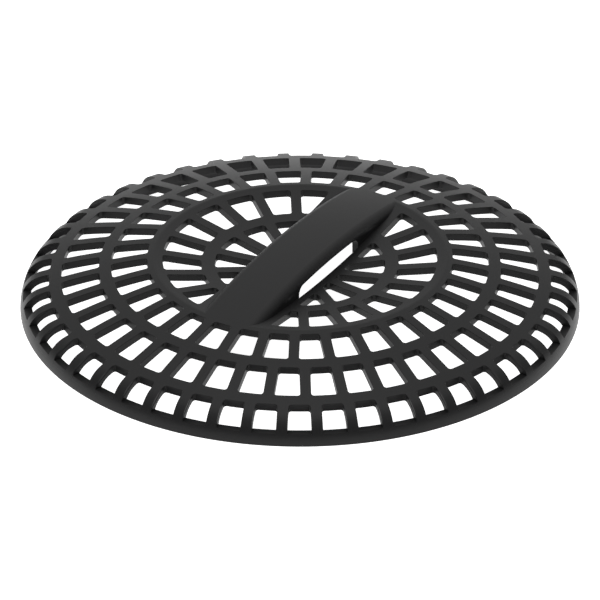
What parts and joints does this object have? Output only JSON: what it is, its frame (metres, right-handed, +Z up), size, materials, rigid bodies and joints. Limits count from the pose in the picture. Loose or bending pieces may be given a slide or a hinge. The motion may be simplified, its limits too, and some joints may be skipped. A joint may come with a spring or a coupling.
{
  "type": "shower drain hair catcher",
  "caption": "Low slotted dome that stands over a shower drain and holds back hair, with a dished middle and a handle bar across it.",
  "frame": {"origin": "middle of the circle that the rim stands on, on the resting plane", "axes": "+Z up through the middle of the dome, X along the handle, Y across it"},
  "size_m": [0.127, 0.127, 0.0163],
  "materials": {
    "moulded_plastic": "near-black injection-moulded plastic, fine even grain, slightly satin"
  },
  "bodies": {
    "root": {"hair_catcher": "moulded_plastic"}
  },
  "joints": []
}
